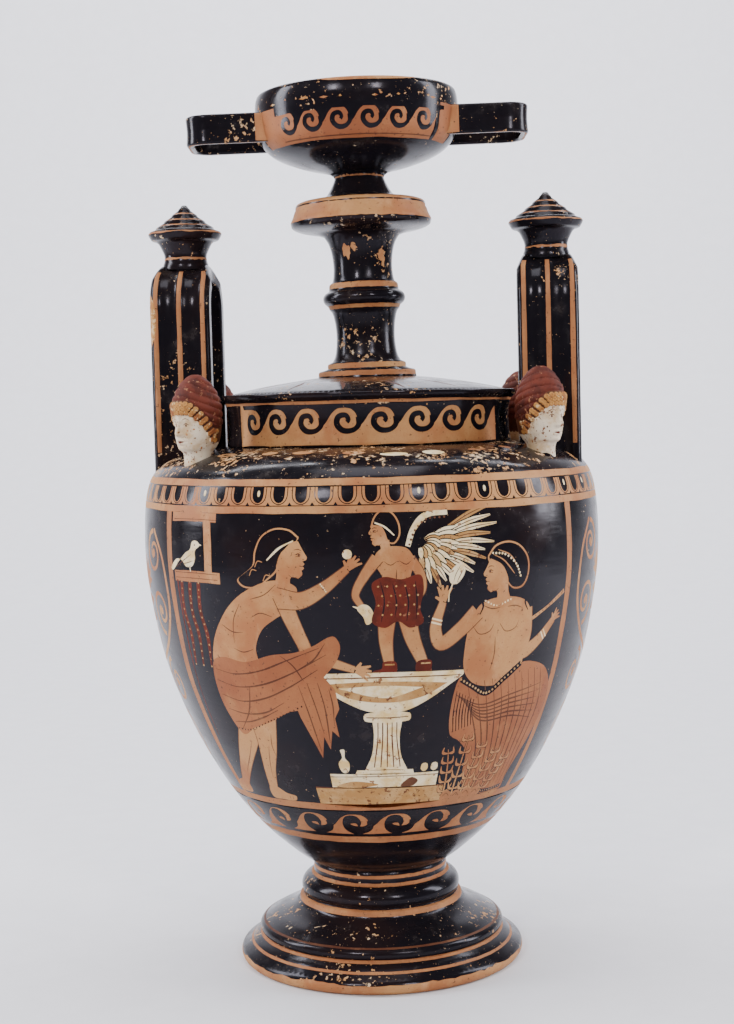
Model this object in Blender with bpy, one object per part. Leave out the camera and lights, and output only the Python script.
# A lebes gamikos in fired clay: a footed ovoid jar with two tall crowned handles and
# four moulded heads on its shoulder, and a lid whose knob carries a small bowl.
# Metres, +Z up. The origin is at the middle of the foot's underside, and the painted
# front faces -Y.

import math

import bmesh
import bpy
from mathutils import Matrix, Vector

# How finely round shapes are cut
BODY_SIDES = 32
LID_SIDES = 26
CAP_SIDES = 12
HEAD_SIDES = 12
ARCH_STEPS = 6
SHARP_ANGLE = math.radians(32)
MERGE_DISTANCE = 0.00001
CUT_OVER = 0.0100

# Heights of the jar
FOOT_JOIN_Z = 0.0600
WIDEST_Z = 0.2760
LEDGE_Z = 0.3350
MOUTH_Z = 0.3520

# Radii of the jar
FOOT_R = 0.0925
REST_OUTER_R = 0.0850
REST_INNER_R = 0.0740
TIER_R = 0.0797
STEM_R = 0.0436
BODY_R = 0.1468
LEDGE_R = 0.0945
MOUTH_R = 0.0830

FLOOR_Z = 0.0700
WALL = 0.0065
MOUTH_WALL = 0.0050
RIM_EASE = 0.0012
LIFT_GAP = 0.0003

# The lid
LID_WALL_R = 0.0920
LID_WAIST_R = 0.0906
LID_LIP_R = 0.0954
LID_LIP_Z = 0.3668
LID_WALL = 0.0060
KNOB_LEAN = math.radians(-0.9)
LEAN_Z = 0.3760
LEAN_RUN = 0.0080
STEM_WAIST_R = 0.0189
RING_R = 0.0266
RING_Z = 0.4290
COLLAR_R = 0.0454
COLLAR_Z = 0.4780
NECK_R = 0.0158
NECK_Z = 0.5060

# The small bowl on the lid, with its two ribbon handles
BOWL_R = 0.0652
BOWL_Z = 0.5590
BOWL_WALL = 0.0045
RIBBON_REACH = 0.1090
RIBBON_Z = 0.5375
RIBBON_TALL = 0.0185
RIBBON_THICK = 0.0048
RIBBON_HALF_GAP = 0.0250
RIBBON_CORNER = 0.0140
RIBBON_ROOT = 0.0500
RIBBON_EASE = 0.0012

# The tall handles
HANDLE_X = 0.1170
HANDLE_TURN = math.radians(-5.0)
LEG_WIDTH = 0.0385
LEG_THICK = 0.0110
LOOP_DEPTH = 0.0600
LOOP_TOP_Z = 0.4540
LEG_FOOT_Z = 0.3120
TOP_WIDTH = 0.0330
SHOULDER_START = 0.72
RIB_WIDTH = 0.0052
RIB_EASE = 0.0007
RIB_INSET = 0.0036
STRAP_EDGE = 0.0030
FLUTE_DEPTH = 0.0018
CAP_NECK_R = 0.0137
CAP_NECK_Z = 0.4600
CAP_BRIM_R = 0.0238
CAP_BRIM_Z = 0.4745
CAP_POINT_Z = 0.4930
CAP_STEPS = 4
CAP_CONE_R = 0.0185
CAP_CONE_CURVE = 1.2
CAP_STEP_TALL = 0.0016
CAP_STEP_OUT = 0.0006

# The moulded heads, whose foot is sunk into the shoulder
HEAD_X = 0.1055
HEAD_Y = 0.0670
HEAD_FOOT_Z = 0.3180
HEAD_TALL = 0.0630
HEAD_YAW = math.radians(40.0)
HEAD_WIDTH = 0.0270
HEAD_DEPTH = 0.0310
CHIN = 0.285
NOSE_FOOT = 0.41
NOSE_TIP = 0.44
BROW = 0.535
FRINGE = 0.69
NOSE_REACH = 0.24
NOSE_SPREAD = 0.50

BLACK = (0.012, 0.011, 0.013)


def arc(center_r, center_z, radius, start, end, steps):
    """Points on an arc of the outline, with its angles in degrees from +r towards +z."""
    points = []
    for i in range(steps + 1):
        angle = math.radians(start + (end - start) * i / steps)
        points.append((center_r + radius * math.cos(angle), center_z + radius * math.sin(angle)))
    return points


def inset(line, distance):
    """The line moved towards its left side, as walked from its first point to its last."""
    moved = []
    for i, point in enumerate(line):
        along = Vector(line[min(i + 1, len(line) - 1)]) - Vector(line[max(i - 1, 0)])
        side = Vector((-along.y, along.x)).normalized()
        moved.append((point[0] + side.x * distance, point[1] + side.y * distance))
    return moved


def finish_mesh(name, bm):
    """Turns a bmesh into a shaded object with its faces outwards."""
    bmesh.ops.remove_doubles(bm, verts=bm.verts, dist=MERGE_DISTANCE)
    bmesh.ops.recalc_face_normals(bm, faces=bm.faces)
    mesh = bpy.data.meshes.new(name)
    bm.to_mesh(mesh)
    bm.free()
    mesh.shade_smooth()
    mesh.set_sharp_from_angle(angle=SHARP_ANGLE)
    made = bpy.data.objects.new(name, mesh)
    bpy.context.collection.objects.link(made)
    return made


def turned(name, outline, sides):
    """A solid of revolution around Z from an outline that starts and ends on the axis."""
    bm = bmesh.new()
    verts = [bm.verts.new((r, 0.0, z)) for r, z in outline]
    edges = [bm.edges.new(pair) for pair in zip(verts, verts[1:])]
    bmesh.ops.spin(
        bm, geom=verts + edges, cent=(0, 0, 0), axis=(0, 0, 1),
        angle=2 * math.pi, steps=sides, use_merge=True,
    )
    return finish_mesh(name, bm)


def swept(name, path, section_at):
    """A closed solid swept along a path of (place, across, outward) frames."""
    bm = bmesh.new()
    rings = []
    for place, across, outward in path:
        section = section_at(outward)
        rings.append([bm.verts.new(place + across * a + outward * o) for a, o in section])
    for ring, following in zip(rings, rings[1:]):
        for i in range(len(ring)):
            j = (i + 1) % len(ring)
            bm.faces.new((ring[i], ring[j], following[j], following[i]))
    bm.faces.new(rings[0])
    bm.faces.new(rings[-1])
    return finish_mesh(name, bm)


def guide(made):
    """Marks an object as one that only joins or cuts another."""
    made.hide_render = True
    made.display_type = "WIRE"
    return made


def fuse(target, tool, operation="UNION"):
    """Fuses a tool into the target as one fired piece, or hollows the target with it."""
    step = target.modifiers.new(f"{operation.lower()} {tool.name}", "BOOLEAN")
    step.operation = operation
    step.solver = "EXACT"
    step.object = guide(tool)


def glaze(made, name, color, roughness):
    """Gives an object its own painted or reserved clay."""
    material = bpy.data.materials.new(name)
    material.use_nodes = True
    shader = material.node_tree.nodes["Principled BSDF"]
    shader.inputs["Base Color"].default_value = (*color, 1.0)
    shader.inputs["Roughness"].default_value = roughness
    shader.inputs["Metallic"].default_value = 0.0
    made.data.materials.clear()
    made.data.materials.append(material)


def jar_stations():
    """Points on the jar's outer curve from the ledge under the lid down to its foot."""
    return (
        (LEDGE_R, LEDGE_Z),
        (0.1150, 0.3320),
        (0.1300, 0.3274),
        (0.1400, 0.3190),
        (0.1448, 0.3060),
        (BODY_R, WIDEST_Z),
        (0.1450, 0.2480),
        (0.1370, 0.2050),
        (0.1275, 0.1760),
        (0.1130, 0.1440),
        (0.0940, 0.1125),
        (0.0750, 0.0895),
        (0.0560, 0.0722),
        (STEM_R, FOOT_JOIN_Z + 0.0030),
    )


def foot_outline():
    """The moulded foot, from its drum under the jar down to the resting edge."""
    drum = [(STEM_R, FOOT_JOIN_Z), (STEM_R, 0.0552)]
    upper_ring = arc(0.0440, 0.0465, 0.0078, 68, -38, 3)
    fillet = [(0.0526, 0.0415), (0.0533, 0.0374)]
    upper_tier = [(0.0545, 0.0358), (0.0604, 0.0324), (0.0692, 0.0290), (0.0755, 0.0256)]
    groove = [(TIER_R, 0.0218), (TIER_R, 0.0188), (0.0788, 0.0178)]
    hollow = [(0.0799, 0.0168), (0.0826, 0.0146), (0.0868, 0.0112)]
    base_ring = arc(FOOT_R - 0.0051, 0.0051, 0.0051, 50, -65, 3)
    return drum + upper_ring + fillet + upper_tier + groove + hollow + base_ring


def foot_hollow():
    """The underside of the foot, from the resting ring up to the middle."""
    return [
        (REST_OUTER_R, 0.0),
        (REST_INNER_R, 0.0),
        (REST_INNER_R - 0.0030, 0.0090),
        (0.0420, 0.0290),
        (0.0330, 0.0480),
        (0.0, 0.0530),
    ]


def jar():
    """The jar on its hollow foot, still solid inside."""
    neck = [(0.0, MOUTH_Z), (MOUTH_R - RIM_EASE, MOUTH_Z)]
    neck += [(MOUTH_R, MOUTH_Z - RIM_EASE), (MOUTH_R, LEDGE_Z)]
    return turned("body", neck + list(jar_stations()) + foot_outline() + foot_hollow(), BODY_SIDES)


def jar_cavity():
    """The jar's inside: its outer curve drawn in by the wall, and open at the mouth."""
    throat = MOUTH_R - MOUTH_WALL
    inner = [(r, z) for r, z in inset(jar_stations(), -WALL) if z > FLOOR_Z][::2]
    above = MOUTH_Z + CUT_OVER
    outline = [(0.0, above), (throat, above), (throat, LEDGE_Z - WALL)]
    outline += inner + [(0.0300, FLOOR_Z), (0.0, FLOOR_Z - 0.0010)]
    return turned("jar cavity", outline, BODY_SIDES)


def strap_section(outward):
    """The handle strap's section: three ribs with two flutes on its outer face."""
    over_top = max((outward.z - SHOULDER_START) / (1 - SHOULDER_START), 0.0)
    half = (LEG_WIDTH + (TOP_WIDTH - LEG_WIDTH) * over_top) / 2
    face = LEG_THICK / 2
    rib = RIB_WIDTH / 2
    edge = half - RIB_INSET
    section = [(-half, -face), (-half, face - STRAP_EDGE)]
    for center in (-edge, 0.0, edge):
        section += [(center - rib, face - RIB_EASE), (center, face), (center + rib, face - RIB_EASE)]
        if center < edge:
            section.append((center + edge / 2, face - FLUTE_DEPTH))
    section += [(half, face - STRAP_EDGE), (half, -face)]
    return section


def handle_frames():
    """The loop's path: up the front leg, over the top and down the back leg."""
    radius = (LOOP_DEPTH - LEG_THICK) / 2
    spring = LOOP_TOP_Z - LOOP_DEPTH / 2
    across = Vector((1, 0, 0))
    frames = []
    for z in (LEG_FOOT_Z, (LEG_FOOT_Z + spring) / 2):
        frames.append((Vector((0, -radius, z)), across, Vector((0, -1, 0))))
    for i in range(ARCH_STEPS + 1):
        angle = math.pi * i / ARCH_STEPS
        outward = Vector((0, -math.cos(angle), math.sin(angle)))
        frames.append((Vector((0, 0, spring)) + outward * radius, across, outward))
    for z in ((LEG_FOOT_Z + spring) / 2, LEG_FOOT_Z):
        frames.append((Vector((0, radius, z)), across, Vector((0, 1, 0))))
    return frames


def cap_outline():
    """The handle's crown: a neck under a wide brim, and a stepped cone to a point."""
    outline = [(0.0, CAP_POINT_Z)]
    brim_top = CAP_BRIM_Z + 0.0022
    cone_tall = CAP_POINT_Z - brim_top
    for step in range(1, CAP_STEPS + 1):
        share = step / CAP_STEPS
        radius = CAP_CONE_R * share ** CAP_CONE_CURVE
        z = CAP_POINT_Z - cone_tall * share
        outline += [(radius, z + CAP_STEP_TALL), (radius + CAP_STEP_OUT, z)]
    outline += [(CAP_BRIM_R, CAP_BRIM_Z), (CAP_BRIM_R - 0.0010, CAP_BRIM_Z - 0.0032)]
    outline += [(0.0180, CAP_BRIM_Z - 0.0058), (CAP_NECK_R, CAP_NECK_Z), (0.0148, LOOP_TOP_Z)]
    outline += [(0.0160, LOOP_TOP_Z - 0.0045), (0.0, LOOP_TOP_Z - 0.0080)]
    return outline


def handle(name, side):
    """One tall handle with its crown, on the given side of the jar."""
    strap = swept(f"{name} strap", handle_frames(), strap_section)
    crown = turned(f"{name} crown", cap_outline(), CAP_SIDES)
    place = Matrix.Rotation(HANDLE_TURN, 4, "Z") @ Matrix.Translation((side * HANDLE_X, 0, 0))
    strap.data.transform(place)
    crown.data.transform(place)
    return strap, crown


def ease(value, start, end):
    """Rises smoothly from 0 at the start to 1 at the end."""
    share = min(max((value - start) / (end - start), 0.0), 1.0)
    return share * share * (3 - 2 * share)


# Reach of a moulded head to its front, sides and back, as shares of its half width
# and half depth, by share of its height: neck, chin, face, fringe, wound cap and peak
HEAD_LEVELS = (
    (0.00, 0.60, 0.62, 0.68),
    (0.19, 0.52, 0.58, 0.64),
    (CHIN - 0.03, 0.62, 0.58, 0.68),
    (CHIN, 0.82, 0.63, 0.86),
    (0.33, 0.89, 0.72, 1.00),
    (0.37, 0.90, 0.79, 1.07),
    (NOSE_TIP, 0.89, 0.86, 1.13),
    (0.49, 0.87, 0.89, 1.16),
    (BROW, 0.93, 0.92, 1.17),
    (0.62, 0.93, 0.95, 1.15),
    (FRINGE, 1.05, 1.02, 1.12),
    (0.74, 0.97, 0.98, 1.05),
    (0.83, 0.79, 0.83, 0.90),
    (0.93, 0.52, 0.55, 0.60),
    (1.00, 0.20, 0.22, 0.25),
)


def head_reach(level, angle):
    """The head's reach at one of its levels, by the angle from the face's middle."""
    share, front, side, back = level
    ahead = math.cos(angle)
    reach = side + ((front if ahead > 0 else back) - side) * ahead ** 2
    along_nose = ease(share, NOSE_FOOT, NOSE_TIP) * (1 - ease(share, NOSE_TIP, BROW))
    return reach + NOSE_REACH * along_nose * (1 - ease(angle, 0.0, NOSE_SPREAD))


def head(across, depth):
    """A moulded head that looks outwards, its cap rising to a rounded peak."""
    bm = bmesh.new()
    rings = []
    for level in HEAD_LEVELS:
        ring = []
        for i in range(HEAD_SIDES):
            angle = 2 * math.pi * i / HEAD_SIDES
            reach = head_reach(level, min(angle, 2 * math.pi - angle))
            x = math.sin(angle) * reach * HEAD_WIDTH / 2
            y = -math.cos(angle) * reach * HEAD_DEPTH / 2
            ring.append(bm.verts.new((x, y, HEAD_FOOT_Z + level[0] * HEAD_TALL)))
        rings.append(ring)
    for ring, following in zip(rings, rings[1:]):
        for i in range(HEAD_SIDES):
            j = (i + 1) % HEAD_SIDES
            bm.faces.new((ring[i], ring[j], following[j], following[i]))
    bm.faces.new(rings[0])
    bm.faces.new(rings[-1])
    made = finish_mesh("head", bm)
    facing = HEAD_YAW * across
    if depth > 0:
        facing = math.pi - facing
    turn = Matrix.Rotation(facing, 4, "Z")
    place = Matrix.Translation((across * HEAD_X, depth * HEAD_Y, 0))
    made.data.transform(place @ turn)
    return made


def bowl_stations():
    """Points on the small bowl's outer curve from its rim down to the waist under it."""
    return (
        (BOWL_R - 0.0008, BOWL_Z - 0.0014),
        (BOWL_R, BOWL_Z - 0.0070),
        (BOWL_R - 0.0008, 0.5420),
        (0.0622, 0.5300),
        (0.0528, 0.5206),
        (0.0338, 0.5134),
        (0.0192, 0.5092),
        (NECK_R, NECK_Z),
    )


def knob_outline():
    """The knob under the bowl: cone foot, collar, ringed stem and its stepped base."""
    cone = [(0.0178, 0.5030), (0.0228, 0.4955)]
    collar = [(0.0396, 0.4908), (0.0420, 0.4888), (0.0420, 0.4866)]
    collar += [(0.0440, 0.4810), (COLLAR_R, COLLAR_Z), (0.0430, 0.4742), (0.0296, 0.4714)]
    upper_stem = [(0.0232, 0.4680), (0.0201, 0.4600), (0.0190, 0.4500), (0.0197, 0.4410)]
    ring = [(0.0222, 0.4380), (0.0226, 0.4346)]
    ring += arc(RING_R - 0.0045, RING_Z, 0.0045, 60, -60, 3)
    ring += [(0.0230, 0.4238), (0.0212, 0.4205)]
    lower_stem = [(0.0192, 0.4120), (STEM_WAIST_R, 0.4040), (0.0202, 0.3950), (0.0225, 0.3880)]
    base = [(0.0252, 0.3866), (0.0254, 0.3836), (0.0315, 0.3818), (0.0320, 0.3788)]
    return cone + collar + upper_stem + ring + lower_stem + base


def lid_shell_outline():
    """The lid's low dome, its thin lip and the slightly hollowed upright wall."""
    dome = [(0.0360, 0.3776), (0.0620, 0.3742), (0.0862, 0.3693)]
    lip = [(0.0890, 0.3678), (0.0945, 0.3680), (LID_LIP_R, LID_LIP_Z)]
    lip += [(LID_LIP_R, LID_LIP_Z - 0.0018), (0.0932, LID_LIP_Z - 0.0030)]
    wall = [(0.0915, 0.3585), (LID_WAIST_R, 0.3500), (LID_WALL_R, LEDGE_Z + LIFT_GAP)]
    return dome + lip + wall


def lean(made):
    """Leans the knob over a little from the dome up, as the hand-thrown one does."""
    foot = Vector((0.0, 0.0, LEAN_Z))
    for vertex in made.data.vertices:
        share = min(max((vertex.co.z - LEAN_Z) / LEAN_RUN, 0.0), 1.0)
        vertex.co = foot + Matrix.Rotation(KNOB_LEAN * share, 3, "Y") @ (vertex.co - foot)
    return made


def lid():
    """The lid with its knob and bowl, fired as one, hollow below and still solid above."""
    bowl = [(0.0, BOWL_Z), (BOWL_R - BOWL_WALL / 2, BOWL_Z)] + list(bowl_stations())
    inner = LID_WALL_R - LID_WALL
    under = [(inner, LEDGE_Z + LIFT_GAP), (inner, 0.3605), (inner - 0.0030, 0.3632)]
    under += [(0.0500, 0.3690), (0.0, 0.3720)]
    return lean(turned("lid", bowl + knob_outline() + lid_shell_outline() + under, LID_SIDES))


def bowl_cavity():
    """The inside of the small bowl, open at its rim."""
    inner = [(r, z) for r, z in inset(bowl_stations(), -BOWL_WALL) if r > 0.022]
    above = BOWL_Z + CUT_OVER
    floor_z = inner[-1][1] - 0.0004
    outline = [(0.0, above), (inner[0][0], above)] + inner + [(0.0, floor_z)]
    return lean(turned("bowl cavity", outline, LID_SIDES))


def ribbon_frames(side):
    """The path of a ribbon handle: out from the bowl, around and back to it."""
    far = RIBBON_REACH - RIBBON_CORNER
    near = RIBBON_HALF_GAP - RIBBON_CORNER
    path = [((RIBBON_ROOT, -RIBBON_HALF_GAP), (0, -1))]
    for start, y in ((0, -near), (90, near)):
        for turn in (0, 30, 60, 90):
            angle = math.radians(start + turn)
            out = (math.sin(angle), -math.cos(angle))
            path.append(((far + out[0] * RIBBON_CORNER, y + out[1] * RIBBON_CORNER), out))
    path.append(((RIBBON_ROOT, RIBBON_HALF_GAP), (0, 1)))
    up = Vector((0, 0, 1))
    return [
        (Vector((side * place[0], place[1], RIBBON_Z)), up, Vector((side * out[0], out[1], 0)))
        for place, out in path
    ]


def ribbon_section(_outward):
    """The ribbon handle's section: a tall band with eased outer edges."""
    tall = RIBBON_TALL / 2
    flat = tall - RIBBON_EASE
    return [
        (-tall, -RIBBON_EASE), (-flat, 0.0), (flat, 0.0), (tall, -RIBBON_EASE),
        (tall, -RIBBON_THICK), (-tall, -RIBBON_THICK),
    ]


def build():
    """Makes the two fired pieces, the jar and its lid."""
    for old in list(bpy.data.objects):
        bpy.data.objects.remove(old)
    body = jar()
    for name, side in (("left handle", -1), ("right handle", 1)):
        for tool in handle(name, side):
            fuse(body, tool)
    for across, depth in ((-1, -1), (1, -1), (-1, 1), (1, 1)):
        fuse(body, head(across, depth))
    fuse(body, jar_cavity(), "DIFFERENCE")
    glaze(body, "black gloss on the jar", BLACK, 0.22)
    cover = lid()
    for side in (-1, 1):
        fuse(cover, lean(swept("ribbon handle", ribbon_frames(side), ribbon_section)))
    fuse(cover, bowl_cavity(), "DIFFERENCE")
    glaze(cover, "black gloss on the lid", BLACK, 0.22)


build()
